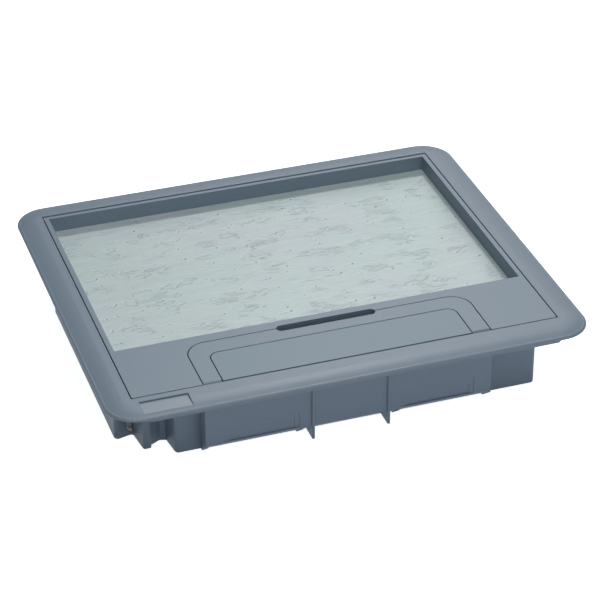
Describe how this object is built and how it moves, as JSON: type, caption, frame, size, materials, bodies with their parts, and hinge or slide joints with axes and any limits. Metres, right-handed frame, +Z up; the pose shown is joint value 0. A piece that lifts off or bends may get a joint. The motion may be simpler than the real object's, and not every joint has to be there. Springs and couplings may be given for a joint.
{
  "type": "floor socket box",
  "caption": "Shallow floor socket box with a domed trim frame, hinged lid with a recess for floor covering, pull handle and cable flap.",
  "frame": {"origin": "centre of the trim frame in plan, on the plane of the casing's underside", "axes": "+X along the long side, +Y towards the lid's hinge, +Z up"},
  "size_m": [0.354, 0.3, 0.06],
  "materials": {
    "trim_plastic": "satin moulded plastic, blue grey",
    "casing_plastic": "matt moulded plastic, darker blue grey",
    "flap_plastic": "satin moulded plastic, blue grey",
    "badge_plate": "satin moulded plastic, bare",
    "floor_plate_steel": "galvanised sheet with fine streaks",
    "foam": "closed cell foam",
    "pin_steel": "plain ground pin",
    "clamp_steel": "passivated steel",
    "clamp_zinc": "dark phosphated die casting",
    "socket_white": "gloss moulded plastic",
    "data_white": "gloss moulded plastic",
    "blank_white": "gloss moulded plastic",
    "support_plastic": "matt moulded plastic"
  },
  "bodies": {
    "casing": {"badge_blank": "badge_plate", "blank_front_3": "blank_white", "blank_front_4": "blank_white", "blank_middle_1": "blank_white", "blank_middle_4": "blank_white", "cable_panel": "casing_plastic", "casing_back": "casing_plastic", "casing_floor": "casing_plastic", "casing_front": "casing_plastic", "casing_left": "casing_plastic", "casing_right": "casing_plastic", "data_front_1": "data_white", "data_front_2": "data_white", "divider": "support_plastic", "hinge_pin_left": "pin_steel", "hinge_pin_right": "pin_steel", "socket_back_1": "socket_white", "socket_back_2": "socket_white", "socket_back_3": "socket_white", "socket_back_4": "socket_white", "socket_middle_2": "socket_white", "socket_middle_3": "socket_white", "support_back": "support_plastic", "support_front": "support_plastic", "support_middle": "support_plastic", "trim_frame": "trim_plastic"},
    "lid": {"flap_pin_left": "pin_steel", "flap_pin_right": "pin_steel", "grip_well": "trim_plastic", "handle_pin_left": "pin_steel", "handle_pin_right": "pin_steel", "lid_panel": "trim_plastic", "lid_tray": "trim_plastic", "steel_plate": "floor_plate_steel"},
    "handle": {"pull_handle": "trim_plastic"},
    "flap": {"cable_flap": "flap_plastic", "flap_foam": "foam"},
    "clamp_screw_front_left": {"clamp_screw_front_left": "clamp_steel"},
    "clamp_nut_front_left": {"clamp_nut_front_left": "clamp_steel"},
    "clamp_arm_front_left": {"clamp_arm_front_left": "clamp_zinc"},
    "clamp_screw_front_right": {"clamp_screw_front_right": "clamp_steel"},
    "clamp_nut_front_right": {"clamp_nut_front_right": "clamp_steel"},
    "clamp_arm_front_right": {"clamp_arm_front_right": "clamp_zinc"},
    "clamp_screw_back_left": {"clamp_screw_back_left": "clamp_steel"},
    "clamp_nut_back_left": {"clamp_nut_back_left": "clamp_steel"},
    "clamp_arm_back_left": {"clamp_arm_back_left": "clamp_zinc"},
    "clamp_screw_back_right": {"clamp_screw_back_right": "clamp_steel"},
    "clamp_nut_back_right": {"clamp_nut_back_right": "clamp_steel"},
    "clamp_arm_back_right": {"clamp_arm_back_right": "clamp_zinc"}
  },
  "joints": [
    {"name": "lid_hinge", "type": "hinge", "parent": "casing", "child": "lid", "pos_m": [0, 0.1304, 0.058], "axis": [-1, 0, 0], "range_deg": [0, 100]},
    {"name": "handle_pivot", "type": "hinge", "parent": "lid", "child": "handle", "pos_m": [0, -0.1229, 0.0575], "axis": [1, 0, 0], "range_deg": [0, 90]},
    {"name": "flap_pivot", "type": "hinge", "parent": "lid", "child": "flap", "pos_m": [0, -0.09195, 0.052], "axis": [1, 0, 0], "range_deg": [0, 80]},
    {"name": "screw_turn_front_left", "type": "hinge", "parent": "casing", "child": "clamp_screw_front_left", "pos_m": [-0.1523, -0.1, 0.0535], "axis": [0, 0, 1], "range_deg": [0, 9000]},
    {"name": "nut_travel_front_left", "type": "slide", "parent": "casing", "child": "clamp_nut_front_left", "axis": [0, 0, -1], "range_m": [0, 0.02]},
    {"name": "arm_swing_front_left", "type": "hinge", "parent": "clamp_nut_front_left", "child": "clamp_arm_front_left", "pos_m": [-0.1523, -0.1, 0.0535], "axis": [0, 0, 1], "range_deg": [0, 90]},
    {"name": "screw_turn_front_right", "type": "hinge", "parent": "casing", "child": "clamp_screw_front_right", "pos_m": [0.1458, -0.1035, 0.0535], "axis": [0, 0, 1], "range_deg": [0, 9000]},
    {"name": "nut_travel_front_right", "type": "slide", "parent": "casing", "child": "clamp_nut_front_right", "axis": [0, 0, -1], "range_m": [0, 0.02]},
    {"name": "arm_swing_front_right", "type": "hinge", "parent": "clamp_nut_front_right", "child": "clamp_arm_front_right", "pos_m": [0.1458, -0.1035, 0.0535], "axis": [0, 0, -1], "range_deg": [0, 90]},
    {"name": "screw_turn_back_left", "type": "hinge", "parent": "casing", "child": "clamp_screw_back_left", "pos_m": [-0.1493, 0.122, 0.04], "axis": [0, 0, 1], "range_deg": [0, 9000]},
    {"name": "nut_travel_back_left", "type": "slide", "parent": "casing", "child": "clamp_nut_back_left", "axis": [0, 0, -1], "range_m": [0, 0.02]},
    {"name": "arm_swing_back_left", "type": "hinge", "parent": "clamp_nut_back_left", "child": "clamp_arm_back_left", "pos_m": [-0.1493, 0.122, 0.04], "axis": [0, 0, -1], "range_deg": [0, 90]},
    {"name": "screw_turn_back_right", "type": "hinge", "parent": "casing", "child": "clamp_screw_back_right", "pos_m": [0.1493, 0.122, 0.04], "axis": [0, 0, 1], "range_deg": [0, 9000]},
    {"name": "nut_travel_back_right", "type": "slide", "parent": "casing", "child": "clamp_nut_back_right", "axis": [0, 0, -1], "range_m": [0, 0.02]},
    {"name": "arm_swing_back_right", "type": "hinge", "parent": "clamp_nut_back_right", "child": "clamp_arm_back_right", "pos_m": [0.1493, 0.122, 0.04], "axis": [0, 0, 1], "range_deg": [0, 90]}
  ],
  "couplings": [
    {"joint": "screw_turn_front_left", "follows": "nut_travel_front_left", "rad_per_m": 7853.9},
    {"joint": "screw_turn_front_right", "follows": "nut_travel_front_right", "rad_per_m": 7853.9},
    {"joint": "screw_turn_back_left", "follows": "nut_travel_back_left", "rad_per_m": 7853.9},
    {"joint": "screw_turn_back_right", "follows": "nut_travel_back_right", "rad_per_m": 7853.9}
  ]
}
